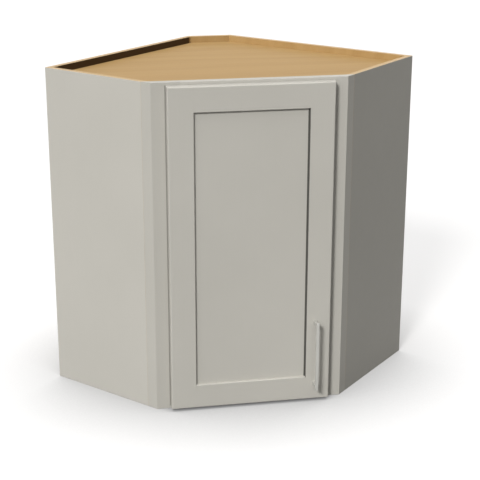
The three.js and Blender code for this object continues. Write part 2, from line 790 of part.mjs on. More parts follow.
const hingeSolids = {
  cup: hingeCup(),
  pin: roundPivot(pivotRadius, pivotLength),
  arm: hingeArm(),
  plate: hingePlate(),
  armScrew: screw(armScrew, armScrewSeat, intoStile),
  plateScrews: plateScrewSeats.map((seat) => screw(plateScrew, seat, intoStile)),
  cupScrews: cupScrewSeats.map((seat) => screw(cupScrew, seat, forward)),
};
for (const [name, height] of Object.entries(hingeHeights)) {
  const onDoor = new THREE.Group();
  const onFrame = new THREE.Group();
  onDoor.position.z = height;
  onFrame.position.z = height;
  door.add(onDoor);
  carcass.add(onFrame);
  add(onDoor, `${name}_hinge_cup`, hingeSolids.cup, nickel);
  add(onDoor, `${name}_hinge_pin`, hingeSolids.pin, zinc);
  add(onFrame, `${name}_hinge_arm`, hingeSolids.arm, nickel);
  add(onFrame, `${name}_hinge_plate`, hingeSolids.plate, nickel);
  add(onFrame, `${name}_hinge_arm_screw`, hingeSolids.armScrew, zinc);
  for (const [k, end] of ["low", "high"].entries()) {
    add(onFrame, `${name}_hinge_plate_screw_${end}`, hingeSolids.plateScrews[k], zinc);
    add(onDoor, `${name}_hinge_cup_screw_${end}`, hingeSolids.cupScrews[k], zinc);
  }
}

export default cabinet;
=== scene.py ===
import itertools
import math

import bmesh
import bpy
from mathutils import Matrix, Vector


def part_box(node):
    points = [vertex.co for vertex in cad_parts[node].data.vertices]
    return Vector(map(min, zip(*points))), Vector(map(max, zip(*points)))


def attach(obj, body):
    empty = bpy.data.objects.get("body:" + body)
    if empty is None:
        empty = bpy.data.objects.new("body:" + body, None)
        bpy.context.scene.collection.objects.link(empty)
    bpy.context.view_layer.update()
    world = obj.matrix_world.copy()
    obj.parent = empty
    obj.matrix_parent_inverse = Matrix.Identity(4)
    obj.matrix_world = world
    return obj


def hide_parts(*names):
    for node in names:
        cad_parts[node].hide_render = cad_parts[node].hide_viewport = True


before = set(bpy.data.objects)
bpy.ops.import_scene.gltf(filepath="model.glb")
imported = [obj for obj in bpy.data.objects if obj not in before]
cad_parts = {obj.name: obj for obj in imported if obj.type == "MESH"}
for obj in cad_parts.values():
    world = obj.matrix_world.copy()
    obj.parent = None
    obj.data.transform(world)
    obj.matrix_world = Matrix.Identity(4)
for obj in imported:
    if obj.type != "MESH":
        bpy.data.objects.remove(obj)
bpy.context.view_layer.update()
scene = bpy.context.scene

# ---------------------------------------------------------------------------------------------
# Camera. It stands a little left of the door, just above the cabinet's top, and looks slightly
# down, so the top deck, both end panels and the door all show.
look_down, look_right = math.radians(17.424), math.radians(9.885)
camera_data = bpy.data.cameras.new("camera")
camera_data.sensor_width = 36.0
camera_data.lens = 87.97
camera_data.shift_x = 0.0130
camera_data.shift_y = -0.0766
camera = bpy.data.objects.new("camera", camera_data)
camera.location = (-0.4604, -2.6987, 1.2608)
camera.rotation_euler = (math.pi / 2 - look_down, 0.0, -look_right)
scene.collection.objects.link(camera)
scene.camera = camera
scene.view_settings.view_transform = "Standard"

# ---------------------------------------------------------------------------------------------
# Floor and studio light. A pale floor catches the shadow. A small key light stands high at the
# front left, with wide soft lights round it, above and behind, and a white room all round.


def linear(colour):
    """A hex colour as it is seen, in the linear numbers that Blender works with."""
    seen = [int(colour[i:i + 2], 16) / 255 for i in (1, 3, 5)]
    return [c / 12.92 if c <= 0.04045 else ((c + 0.055) / 1.055) ** 2.4 for c in seen] + [1.0]


def feed(tree, node, inputs):
    """Sets or links a node's inputs, each by its name or number. What goes in is a value, a
    socket, or another node, which stands for its first live output.
    """
    for key, value in inputs.items():
        if isinstance(value, bpy.types.Node):
            value = next(socket for socket in value.outputs if socket.enabled)
        if isinstance(value, bpy.types.NodeSocket):
            tree.links.new(value, node.inputs[key])
        else:
            node.inputs[key].default_value = value


def add_node(tree, kind, inputs=None, stops=(), points=(), **settings):
    """A node of this kind, with its settings and links. stops are the (place, hex colour) pairs
    of a colour band, and points the (across, up) pairs of a curve of straight lines.
    """
    node = tree.nodes.new(kind)
    for name, value in settings.items():
        setattr(node, name, value)
    feed(tree, node, inputs or {})
    if stops:
        band = node.color_ramp.elements
        while len(band) < len(stops):
            band.new(0.5)
        for mark, (place, colour) in zip(band, stops):
            mark.position = place
            mark.color = linear(colour)
    if points:
        line = node.mapping.curves[0].points
        while len(line) < len(points):
            line.new(0.5, 0.5)
        for mark, place in zip(line, points):
            mark.location = place
            mark.handle_type = "VECTOR"
        node.mapping.update()
    return node


def seen_directly(tree):
    """1 for camera, mirror and see-through rays, and 0 for the light that falls on things."""
    path = add_node(tree, "ShaderNodeLightPath")
    either = add_node(tree, "ShaderNodeMath", {
        0: path.outputs["Is Camera Ray"],
        1: path.outputs["Is Glossy Ray"],
    }, operation="MAXIMUM")
    return add_node(tree, "ShaderNodeMath", {
        0: either,
        1: path.outputs["Is Transmission Ray"],
    }, operation="MAXIMUM")


room_strength, backdrop_strength = 0.08, 1.0
room = bpy.data.worlds.new("white_room")
room.use_nodes = True
scene.world = room
tree = room.node_tree
tree.nodes.clear()
lighting, backdrop = (
    add_node(tree, "ShaderNodeBackground", {"Color": (1, 1, 1, 1), "Strength": strength})
    for strength in (room_strength, backdrop_strength))
chosen = add_node(tree, "ShaderNodeMixShader", {0: seen_directly(tree), 1: lighting, 2: backdrop})
add_node(tree, "ShaderNodeOutputWorld", {"Surface": chosen})

floor_half = 12.0
floor_level = -0.0005
floor_mesh = bpy.data.meshes.new("floor")
floor_mesh.from_pydata(
    [
        (x * floor_half, y * floor_half, floor_level)
        for x, y in ((-1, -1), (1, -1), (1, 1), (-1, 1))
    ],
    [], [(0, 1, 2, 3)])
floor = bpy.data.objects.new("floor", floor_mesh)
scene.collection.objects.link(floor)
floor_finish = bpy.data.materials.new("pale_floor")
floor_finish.use_nodes = True
tree = floor_finish.node_tree
tree.nodes.clear()

# To falling light the floor is mid grey. It also glows inside the cabinet's outline, where only
# the underside can see it. Each side of that outline is a line |x| across + y along = reach.
glow_under = 0.7
wall_reach, end_reach, front_reach, corner_reach = 0.3774, 0.4847, 0.2691, 0.3213
spot = add_node(tree, "ShaderNodeSeparateXYZ", {
    0: add_node(tree, "ShaderNodeTexCoord").outputs["Object"],
})
off_middle = add_node(tree, "ShaderNodeMath", {0: spot.outputs["X"]}, operation="ABSOLUTE")
under = glow_under
for across, along, reach in (
    (1, 1, wall_reach), (1, -1, end_reach), (0, -1, front_reach), (0, 1, corner_reach),
):
    distance = add_node(tree, "ShaderNodeMath", {
        0: spot.outputs["Y"], 1: along,
        2: add_node(tree, "ShaderNodeMath", {0: off_middle, 1: across}, operation="MULTIPLY"),
    }, operation="MULTIPLY_ADD")
    inside = add_node(tree, "ShaderNodeMath", {0: distance, 1: reach}, operation="LESS_THAN")
    under = add_node(tree, "ShaderNodeMath", {0: inside, 1: under}, operation="MULTIPLY")
plain = add_node(tree, "ShaderNodeAddShader", {
    0: add_node(tree, "ShaderNodeBsdfDiffuse", {"Color": linear("#5c5c5b")}),
    1: add_node(tree, "ShaderNodeEmission", {"Strength": under}),
})

# To the eye it is lifted to white, except where the cabinet is near and where its shadow falls.
near_reach, darkest_contact, lift_strength = 0.30, 0.18, 0.60
near = add_node(tree, "ShaderNodeAmbientOcclusion", {"Distance": near_reach}, samples=8)
contact = add_node(tree, "ShaderNodeMapRange", {
    "Value": near.outputs["AO"], "To Min": darkest_contact,
})
tone = add_node(tree, "ShaderNodeMix", {
    "Factor": contact, "A": (0, 0, 0, 1), "B": linear("#a09f9e"),
}, data_type="RGBA")
lift = add_node(tree, "ShaderNodeMath", {0: contact, 1: lift_strength}, operation="MULTIPLY")
lifted = add_node(tree, "ShaderNodeAddShader", {
    0: add_node(tree, "ShaderNodeBsdfDiffuse", {"Color": tone}),
    1: add_node(tree, "ShaderNodeEmission", {"Color": linear("#ffffff"), "Strength": lift}),
})
chosen = add_node(tree, "ShaderNodeMixShader", {0: seen_directly(tree), 1: plain, 2: lifted})
# From below it is clear, so the underside shows.
from_below = add_node(tree, "ShaderNodeMixShader", {
    0: add_node(tree, "ShaderNodeNewGeometry").outputs["Backfacing"],
    1: chosen,
    2: add_node(tree, "ShaderNodeBsdfTransparent"),
})
add_node(tree, "ShaderNodeOutputMaterial", {"Surface": from_below})
floor_mesh.materials.append(floor_finish)

# Each lamp: its name, the way towards it, its strength, and how wide it looks, in degrees.
for name, towards, strength, spread in (
    ("key_light", (-0.428, -0.690, 0.580), 2.75, 12.0),
    ("front_light", (-0.379, -0.757, 0.530), 0.72, 90.0),
    ("right_light", (0.158, -0.932, 0.326), 0.07, 20.0),
    ("side_light", (-0.759, -0.345, 0.552), 0.60, 60.0),
    ("top_light", (0.0, -0.06, 0.998), 1.5, 40.0),
    ("back_left_light", (-0.60, 0.798, 0.05), 1.15, 30.0),
    ("back_right_light", (0.60, 0.798, 0.05), 1.15, 30.0),
):
    lamp = bpy.data.lights.new(name, "SUN")
    lamp.energy = strength
    lamp.angle = math.radians(spread)
    light = bpy.data.objects.new(name, lamp)
    light.rotation_euler = Vector(towards).to_track_quat("Z", "Y").to_euler()
    scene.collection.objects.link(light)

# ---------------------------------------------------------------------------------------------
# End panels. Each is veneered plywood, sprayed with grey lacquer outside, left clear-coated
# inside, and raw at its sawn edges. Dadoes and a rebate in it hold the decks and the back.
mm = 0.001
up = Vector((0, 0, 1))
half_turn = math.sqrt(0.5)
# Plan directions: out of each end panel. A back faces the way of the other side's end panel.
left_out = Vector((-half_turn, -half_turn, 0))
right_out = Vector((half_turn, -half_turn, 0))


def surface_shader(name, roughness, metallic=0.0):
    """A new material, its node tree and its empty surface shader."""
    finish = bpy.data.materials.new(name)
    finish.use_nodes = True
    nodes = finish.node_tree
    nodes.nodes.clear()
    shader = add_node(nodes, "ShaderNodeBsdfPrincipled", {
        "Roughness": roughness, "Metallic": metallic,
    })
    add_node(nodes, "ShaderNodeOutputMaterial", {"Surface": shader})
    return finish, nodes, shader


def darkened(nodes, colour, darkest):
    """The colour, made darker by as much as the board's shade attribute says: its own tone, and on
    some boards painted shade.
    """
    tone_and_painted_shade = add_node(nodes, "ShaderNodeAttribute", attribute_name="tone_and_painted_shade").outputs["Fac"]
    return add_node(nodes, "ShaderNodeMix", {
        "Factor": tone_and_painted_shade, "A": colour, "B": linear(darkest),
    }, data_type="RGBA")


# Grey lacquer over maple, sprayed and satin: it gives the eye an even, soft sheen, with faint
# orange peel and the grain just showing through. Scales are features to the metre. The fibres,
# 2.4 mm apart and 110 mm long, and the peel, 2 mm across, are coarser than real ones, to show.
fibre_scale, peel_scale, cloud_scale, drift_scale = (9.0, 420.0, 420.0), 520.0, 60.0, 3.5
grey_paint, nodes, shader = surface_shader("grey_sprayed_lacquer", 0.5)
grain = add_node(nodes, "ShaderNodeAttribute", attribute_name="board").outputs["Vector"]
place = add_node(nodes, "ShaderNodeTexCoord").outputs["Object"]
drift = add_node(nodes, "ShaderNodeTexNoise", {
    "Vector": place, "Scale": drift_scale, "Detail": 3.0,
})
colour = add_node(nodes, "ShaderNodeValToRGB", {"Fac": drift}, stops=[
    (0.3, "#afaca4"), (0.7, "#b3b0a8"),
])
fibre = add_node(nodes, "ShaderNodeTexNoise", {
    "Vector": add_node(nodes, "ShaderNodeVectorMath", {
        0: grain, 1: fibre_scale,
    }, operation="MULTIPLY"),
    "Scale": 1.0, "Detail": 3.0, "Roughness": 0.6,
})
faint = add_node(nodes, "ShaderNodeMix", {
    "Factor": add_node(nodes, "ShaderNodeMapRange", {
        "Value": fibre, "From Min": 0.35, "From Max": 0.7, "To Min": 0.0, "To Max": 0.05,
    }),
    "A": colour, "B": linear("#a29f96"),
}, data_type="RGBA")
peel = add_node(nodes, "ShaderNodeTexNoise", {"Vector": place, "Scale": peel_scale, "Detail": 2.0})
cloud = add_node(nodes, "ShaderNodeTexNoise", {
    "Vector": place, "Scale": cloud_scale, "Detail": 3.0,
})
sheen = add_node(nodes, "ShaderNodeMapRange", {
    "Value": cloud, "From Min": 0.3, "From Max": 0.7, "To Min": 0.5, "To Max": 0.58,
})
fibre_bump = add_node(nodes, "ShaderNodeBump", {
    "Strength": 0.12, "Distance": 0.12 * mm, "Height": fibre,
})
peel_bump = add_node(nodes, "ShaderNodeBump", {
    "Strength": 0.22, "Distance": 0.12 * mm, "Height": peel, "Normal": fibre_bump,
})
feed(nodes, shader, {
    "Base Color": darkened(nodes, faint, "#23221e"), "Roughness": sheen,
    "Specular IOR Level": 0.25, "Normal": peel_bump,
})


def veneer(name, stops, fleck, polish):
    """Maple veneer: soft bands that wander along the board, fine streaks and short flecks.

    Scales are features to the metre along, across and through the board: bands 30 mm apart,
    streaks 2 mm apart and 140 mm long, drawn twice as coarse as real ones so that they show,
    and flecks 0.7 mm wide and 10 mm long.
    """
    wander_scale, band_scale = (1.6, 5.0, 0.0), (0.9, 34.0, 30.0)
    streak_scale, fleck_scale = (7.0, 520.0, 400.0), (95.0, 1500.0, 900.0)
    furthest_sway = 50 * mm
    streak_share = 0.38
    finish, nodes, shader = surface_shader(name, 0.5)
    grain = add_node(nodes, "ShaderNodeAttribute", attribute_name="board").outputs["Vector"]
    wander = add_node(nodes, "ShaderNodeTexNoise", {
        "Vector": add_node(nodes, "ShaderNodeVectorMath", {
            0: grain, 1: wander_scale,
        }, operation="MULTIPLY"),
        "Scale": 1.0, "Detail": 2.0,
    })
    sway = add_node(nodes, "ShaderNodeMapRange", {
        "Value": wander, "To Min": -furthest_sway, "To Max": furthest_sway,
    })
    shifted = add_node(nodes, "ShaderNodeVectorMath", {
        0: grain, 1: add_node(nodes, "ShaderNodeCombineXYZ", {"Y": sway}),
    }, operation="ADD")
    bands, streaks, flecks = (
        add_node(nodes, "ShaderNodeTexNoise", {
            "Vector": add_node(nodes, "ShaderNodeVectorMath", {
                0: shifted, 1: scale,
            }, operation="MULTIPLY"),
            "Scale": 1.0, "Detail": detail, "Roughness": roughness,
        })
        for scale, detail, roughness in (
            (band_scale, 3.0, 0.6), (streak_scale, 3.0, 0.65), (fleck_scale, 1.0, 0.5)))
    both = add_node(nodes, "ShaderNodeMix", {
        "Factor": streak_share, "A": bands, "B": streaks,
    }, data_type="FLOAT")
    colour = add_node(nodes, "ShaderNodeValToRGB", {"Fac": both}, stops=stops)
    flecked = add_node(nodes, "ShaderNodeMix", {
        "Factor": add_node(nodes, "ShaderNodeMapRange", {
            "Value": flecks, "From Min": 0.66, "From Max": 0.78, "To Min": 0.0, "To Max": 0.45,
        }),
        "A": colour, "B": linear(fleck),
    }, data_type="RGBA")
    dullness = add_node(nodes, "ShaderNodeMapRange", {
        "Value": streaks, "From Min": 0.3, "From Max": 0.7,
        "To Min": polish, "To Max": polish + 0.14,
    })
    relief = add_node(nodes, "ShaderNodeBump", {
        "Strength": 0.2, "Distance": 0.1 * mm, "Height": streaks,
    })
    feed(nodes, shader, {
        "Base Color": darkened(nodes, flecked, "#4a3c28"), "Roughness": dullness,
        "Specular IOR Level": 0.07, "Normal": relief,
    })
    return finish


# Clear-coated maple gives the eye warm honey with a soft sheen. Left raw, it is paler and dull.
maple_veneer = veneer(
    "clear_coated_maple_veneer", [(0.25, "#997b4f"), (0.5, "#a28457"), (0.75, "#a98c5f")],
    "#7f6443", 0.42)
raw_veneer = veneer(
    "raw_maple_veneer", [(0.25, "#a8906b"), (0.5, "#b39c76"), (0.75, "#bda783")],
    "#8d7553", 0.66)

# Sawn plywood edge: it gives the eye thin stripes, pale long grain and darker end grain in turn,
# with dark glue lines between. The plies are 1.81 mm thick, seven to a 12.7 mm board, and waver.
ply = 1.81 * mm
waver_scale, saw_scale = (22.0, 22.0, 60.0), (260.0, 260.0, 1500.0)
sawn_edge, nodes, shader = surface_shader("sawn_plywood_edge", 0.75)
grain = add_node(nodes, "ShaderNodeAttribute", attribute_name="board").outputs["Vector"]
wave = add_node(nodes, "ShaderNodeTexNoise", {
    "Vector": add_node(nodes, "ShaderNodeVectorMath", {
        0: grain, 1: waver_scale,
    }, operation="MULTIPLY"),
    "Scale": 1.0, "Detail": 2.0,
})
waver = add_node(nodes, "ShaderNodeMapRange", {"Value": wave, "To Min": -0.16, "To Max": 0.16})
depth = add_node(nodes, "ShaderNodeSeparateXYZ", {0: grain}).outputs["Z"]
layer = add_node(nodes, "ShaderNodeMath", {
    0: depth, 1: 1 / ply, 2: waver,
}, operation="MULTIPLY_ADD")
crossed = add_node(nodes, "ShaderNodeMath", {
    0: add_node(nodes, "ShaderNodeMath", {0: layer}, operation="FLOOR"), 1: 2.0,
}, operation="FLOORED_MODULO")
fine = add_node(nodes, "ShaderNodeTexNoise", {
    "Vector": add_node(nodes, "ShaderNodeVectorMath", {
        0: grain, 1: saw_scale,
    }, operation="MULTIPLY"),
    "Scale": 1.0, "Detail": 3.0, "Roughness": 0.6,
})
long_grain, end_grain = (
    add_node(nodes, "ShaderNodeValToRGB", {"Fac": fine}, stops=[(0.3, dark), (0.7, pale)])
    for dark, pale in (("#bba27c", "#cdb693"), ("#8f7452", "#b0956f")))
plies = add_node(nodes, "ShaderNodeMix", {
    "Factor": crossed, "A": long_grain, "B": end_grain,
}, data_type="RGBA")
within = add_node(nodes, "ShaderNodeMath", {0: layer}, operation="FRACT")
from_line = add_node(nodes, "ShaderNodeMath", {
    0: add_node(nodes, "ShaderNodeMath", {0: within, 1: 0.5}, operation="SUBTRACT"),
}, operation="ABSOLUTE")
glued = add_node(nodes, "ShaderNodeMix", {
    "Factor": add_node(nodes, "ShaderNodeMapRange", {
        "Value": from_line, "From Min": 0.43, "From Max": 0.5, "To Min": 0.0, "To Max": 0.5,
    }),
    "A": plies, "B": linear("#6b5031"),
}, data_type="RGBA")
saw_marks = add_node(nodes, "ShaderNodeBump", {
    "Strength": 0.5, "Distance": 0.2 * mm, "Height": fine,
})
feed(nodes, shader, {"Base Color": glued, "Normal": saw_marks})

# Each board is cut from its own part of the grain, this far along and across from the last one.
board_numbers = itertools.count()
along_step, across_step = 1.7, 0.9


def board(
    node, body, thickness, grain_way, finishes, finish_of=None, ease=0.4 * mm, tone_and_painted_shade=0.0,
):
    """A finished board in the place of a CAD one: its faces made whole, its edges eased.

    It carries its own board coordinates, along the grain, across it and through its thickness,
    for the finishes to follow, and, as shade, how much darker it is drawn: its own tone, or
    painted shade.
    Where it has more than one finish, finish_of picks a face's from its normal.
    """
    number = next(board_numbers)
    still_flat, sharp_edge = math.radians(0.6), math.radians(40)
    shape = bmesh.new()
    shape.from_mesh(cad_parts[node].data)
    bmesh.ops.remove_doubles(shape, verts=shape.verts, dist=0.01 * mm)
    bmesh.ops.dissolve_limit(
        shape, angle_limit=still_flat, verts=shape.verts, edges=shape.edges)
    shape.normal_update()
    for face in shape.faces:
        face.material_index = finish_of(face.normal) if finish_of else 0
        face.smooth = True
    mesh = bpy.data.meshes.new(f"{node}_board")
    shape.to_mesh(mesh)
    shape.free()
    for name in [each.name for each in mesh.attributes if each.name in ("custom_normal", "UVMap")]:
        mesh.attributes.remove(mesh.attributes[name])
    side = thickness.cross(grain_way)
    through = [vertex.co.dot(thickness) for vertex in mesh.vertices]
    start = min(through)
    carried = mesh.attributes.new("board", "FLOAT_VECTOR", "POINT")
    for vertex, depth_in, value in zip(mesh.vertices, through, carried.data):
        value.vector = (
            vertex.co.dot(grain_way) + along_step * number,
            vertex.co.dot(side) + across_step * number,
            depth_in - start,
        )
    tone = mesh.attributes.new("tone_and_painted_shade", "FLOAT", "POINT")
    for value in tone.data:
        value.value = tone_and_painted_shade
    for finish in finishes:
        mesh.materials.append(finish)
    piece = bpy.data.objects.new(f"{node}_board", mesh)
    scene.collection.objects.link(piece)
    if ease:
        easing = piece.modifiers.new("eased_edges", "BEVEL")
        easing.width = ease
        easing.segments = 2
        easing.limit_method = "ANGLE"
        easing.angle_limit = sharp_edge
    flat = piece.modifiers.new("flat_faces", "WEIGHTED_NORMAL")
    flat.weight = 100
    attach(piece, body)
    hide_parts(node)
    return piece


# How squarely a face has to look a way to count as that side: the cosine of the angle between.
squarely = 0.9


def coated_by_side(front_way):
    """Picks finish 0 for a board's front, 1 for its back and 2 for its edges."""
    def finish_of(normal):
        facing = normal.dot(front_way)
        return 0 if facing > squarely else 1 if facing < -squarely else 2
    return finish_of


# The right panel's lacquer is drawn 13% darker: painted shade for the side turned away from the
# lamps.
for side, outward, tone_and_painted_shade in (("left", left_out, 0.0), ("right", right_out, 0.13)):
    board(
        f"{side}_side_panel", "carcass", outward, up,
        (grey_paint, maple_veneer, sawn_edge), coated_by_side(outward), tone_and_painted_shade=tone_and_painted_shade)

# ---------------------------------------------------------------------------------------------
# Backs and decks. Maple plywood, clear-coated inside. Two backs along the walls and one across
# the clipped corner are mitred together and left raw outside. A deck at the top and one at the
# bottom are coated on both faces and glued into the end panels.
rightward = Vector((1, 0, 0))
forward = Vector((0, -1, 0))
for node, facing, grain_way, behind, tone_and_painted_shade in (
    ("left_back_panel", right_out, up, raw_veneer, 0.0),
    ("right_back_panel", left_out, up, raw_veneer, 0.0),
    ("corner_back_panel", forward, up, raw_veneer, 0.1),
    ("bottom_deck", up, rightward, maple_veneer, 0.0),
    ("top_deck", up, rightward, maple_veneer, 0.0),
):
    board(
        node, "carcass", facing, grain_way,
        (maple_veneer, behind, sawn_edge), coated_by_side(facing), tone_and_painted_shade=tone_and_painted_shade)

# ---------------------------------------------------------------------------------------------
# Dark strip. A thin lath, sawn to length and pinned to the left back in the well above the top
# deck. Its near-black brown is painted shadow, standing for the shade that falls on that face.


def mottled(
    name, roughness, metallic, pattern, tones, dullness, relief=None, stretch=None, looks=None,
):
    """A finish with one fine pattern in it, its Scale in features to the metre. The pattern moves
    the colour between two tones, the roughness between the two values of dullness and, by
    relief's strength and depth, the surface. looks are what else the surface is given.
    """
    finish, nodes, shader = surface_shader(name, roughness, metallic)
    place = add_node(nodes, "ShaderNodeTexCoord").outputs["Object"]
    if stretch:
        place = add_node(nodes, "ShaderNodeVectorMath", {
            0: place, 1: stretch,
        }, operation="MULTIPLY")
    marks = add_node(nodes, "ShaderNodeTexNoise", {"Vector": place, **pattern})
    least, most = dullness
    feed(nodes, shader, {
        "Base Color": add_node(nodes, "ShaderNodeValToRGB", {"Fac": marks}, stops=[
            (0.3, tones[0]), (0.7, tones[1]),
        ]),
        "Roughness": add_node(nodes, "ShaderNodeMapRange", {
            "Value": marks, "From Min": 0.3, "From Max": 0.7, "To Min": least, "To Max": most,
        }),
        **(looks or {}),
    })
    if relief:
        strength, depth = relief
        feed(nodes, shader, {"Normal": add_node(nodes, "ShaderNodeBump", {
            "Strength": strength, "Distance": depth, "Height": marks,
        })})
    return finish


# Painted shadow drawn as tempered hardboard: a flat, near-black brown felt that stands for the
# shade on the left back. Its clumps of fibres, 1.4 mm across, are coarser than real ones, to show.
painted_shadow_hardboard = mottled(
    "hardboard_painted_shadow", 0.7, 0.0, {"Scale": 700.0, "Detail": 4.0, "Roughness": 0.7},
    ("#362611", "#443018"), (0.6, 0.8), (0.4, 0.1 * mm), looks={"Specular IOR Level": 0.15})
left_wall_way = Vector((half_turn, half_turn, 0))
board(
    "left_back_dark_strip", "carcass", right_out, left_wall_way,
    (painted_shadow_hardboard,), ease=0.2 * mm)

# ---------------------------------------------------------------------------------------------
# Face frame. Two stiles and two rails of solid maple, tenoned together, sprayed with the same
# grey lacquer as the end panels, and glued to the carcass's front.
# The left stile's lacquer is drawn 7% darker, painted shade that takes back the light the door's
# lit edge throws on it. The rails' 1% is a tone of their own.
frame_pieces = {
    node: board(
        node, "carcass", forward, grain_way, (grey_paint,), tone_and_painted_shade=tone_and_painted_shade)
    for node, grain_way, tone_and_painted_shade in (
        ("frame_left_stile", up, 0.07),
        ("frame_right_stile", up, 0.0),
        ("frame_bottom_rail", rightward, 0.01),
        ("frame_top_rail", rightward, 0.01),
    )
}


def paint_shade_between(piece, depth, low, high, blend):
    """Paints shade into a board's finish between two corners. Cuts round them keep it inside."""
    mesh = piece.data
    shape = bmesh.new()
    shape.from_mesh(mesh)
    for axis in (0, 2):
        for place in (low[axis] - blend, low[axis], high[axis], high[axis] + blend):
            normal = Vector((0, 0, 0))
            normal[axis] = 1
            bmesh.ops.bisect_plane(
                shape, geom=shape.verts[:] + shape.edges[:] + shape.faces[:],
                plane_co=normal * place, plane_no=normal)
    tone = shape.verts.layers.float["tone_and_painted_shade"]
    slack = 0.1 * mm
    for vertex in shape.verts:
        if all(low[axis] - slack < vertex.co[axis] < high[axis] + slack for axis in range(3)):
            vertex[tone] = depth
    shape.to_mesh(mesh)
    shape.free()


# Painted shadow: a faint dark line painted into the frame's lacquer beside the door's hinge edge,
# where the gap behind the door casts shade.
painted_shade_depth, painted_shade_width, painted_shade_blend = 0.45, 2.5 * mm, 0.5 * mm
door_low, door_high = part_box("door_left_stile")
frame_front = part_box("frame_left_stile")[0][1]
paint_shade_between(
    frame_pieces["frame_left_stile"], painted_shade_depth,
    (door_low[0] - painted_shade_width, frame_front, door_low[2]),
    (door_low[0], frame_front, door_high[2]), painted_shade_blend)

# ---------------------------------------------------------------------------------------------
# Shelves. Two loose boards of clear-coated maple plywood, with a maple band ironed on to the
# front edge. Their other edges are sawn.
for row in ("lower", "upper"):
    board(
        f"{row}_shelf", "carcass", up, rightward, (maple_veneer, sawn_edge),
        lambda normal: 0 if abs(normal.z) > squarely or normal.y < -squarely else 1,
        ease=0.6 * mm)

# ---------------------------------------------------------------------------------------------
# Shelf brackets. Small steel angles with a gusset at each side, pressed, nickel-plated, and set
# by a peg into the drilled rows. Five carry each shelf.

# Nickel plating over steel: it gives the eye a warm metal, a little cloudy in patches 4 mm
# across, so that it mirrors softly.
plated_steel = mottled(
    "nickel_plated_steel", 0.28, 1.0, {"Scale": 240.0, "Detail": 3.0},
    ("#bdb9af", "#cfccc3"), (0.22, 0.36), (0.15, 0.05 * mm))
for row in ("lower", "upper"):
    for holder in ("left_side", "left_back", "right_side", "right_back", "corner_back"):
        board(
            f"{row}_shelf_bracket_{holder}", "carcass", up, rightward,
            (plated_steel,), ease=0.25 * mm)

# ---------------------------------------------------------------------------------------------
# Door. Two stiles and two rails of solid maple, grooved round a flat panel, rounded over at the
# outer front edges and chamfered round the panel, and lacquered all over.
door_pieces = {
    node: board(
        node, "door", forward, grain_way, (grey_paint,), ease=0.25 * mm)
    for node, grain_way in (
        ("door_left_stile", up),
        ("door_right_stile", up),
        ("door_bottom_rail", rightward),
        ("door_top_rail", rightward),
        ("door_panel", up),
    )
}
# Painted shade: a dark line painted into the lacquer in the corner between the panel and the stile
# on the pull's side, and over the stile's chamfer. On the panel the line runs on into the grooves
# above and below, and on both it goes right through, from before the door to behind it.
painted_shade_depth, painted_shade_width, painted_shade_blend = 0.86, 2.2 * mm, 0.4 * mm
stile_wall, chamfer = 126.65 * mm, 1.2 * mm
wall_slack, into_groove = 0.1 * mm, 20 * mm
recess_low, recess_high = 63.5 * mm, 698.5 * mm
before_it, behind_it = -1, 1
for node, start, end, past in (
    ("door_panel", stile_wall - painted_shade_width, stile_wall, into_groove),
    ("door_right_stile", stile_wall - wall_slack, stile_wall + chamfer, chamfer),
):
    paint_shade_between(
        door_pieces[node], painted_shade_depth, (start, before_it, recess_low - past),
        (end, behind_it, recess_high + past), painted_shade_blend)

# ---------------------------------------------------------------------------------------------
# Pull. A straight square bar on two posts, cast in one piece, brushed along its length, with a
# satin nickel finish. A screw from behind the door goes into each post.

# Satin nickel, brushed: it gives the eye a pale, soft metal, streaked along the bar. The brush
# marks are 0.4 mm apart and 33 mm long, coarser than real ones, to show.
satin_nickel = mottled(
    "brushed_satin_nickel", 0.4, 0.25, {"Scale": 1.0, "Detail": 3.0, "Roughness": 0.7},
    ("#adaca6", "#bab9b3"), (0.28, 0.42), (0.12, 0.04 * mm), stretch=(2600.0, 2600.0, 30.0))
board("pull", "door", forward, up, (satin_nickel,), ease=0)

# ---------------------------------------------------------------------------------------------
# Hinges. Two concealed ones, all nickel-plated: a die-cast cup let into the door's back, and a
# bent steel arm on a steel plate that hooks behind the frame's stile.
for row in ("lower", "upper"):
    for part, body in (("cup", "door"), ("arm", "carcass"), ("plate", "carcass")):
        board(
            f"{row}_hinge_{part}", body, up, rightward,
            (plated_steel,), ease=0.2 * mm)

# ---------------------------------------------------------------------------------------------
# Bumpers. Clear soft rubber domes, moulded, and stuck to the back of the door near its opening
# edge, one above and one below.

# Moulded clear rubber: it gives the eye a milky drop that lets the lacquer show through, with a
# faint haze in spots 2 mm across.
clear_rubber = mottled(
    "clear_rubber", 0.3, 0.0, {"Scale": 500.0, "Detail": 3.0}, ("#dededa", "#f0f0ec"),
    (0.25, 0.4), looks={"Transmission Weight": 0.75, "IOR": 1.45})
for row in ("lower", "upper"):
    board(f"{row}_bumper", "door", forward, up, (clear_rubber,), ease=0)

# ---------------------------------------------------------------------------------------------
# Screws and pins. Zinc-plated steel. Round-headed cross-recess screws hold the hinge plates, arms
# and cups, longer ones hold the pull, and a plain pin is riveted through each hinge cup.

# Zinc plating, left bright: it gives the eye a cool, bluish metal that turns a little yellow in
# patches 3 mm across.
zinc_plating = mottled(
    "zinc_plated_steel", 0.32, 1.0, {"Scale": 300.0, "Detail": 3.0},
    ("#bfc2c6", "#d2d2cc"), (0.26, 0.4))
for row in ("lower", "upper"):
    board(
        f"{row}_hinge_pin", "door", up, rightward, (zinc_plating,),
        ease=0.15 * mm)


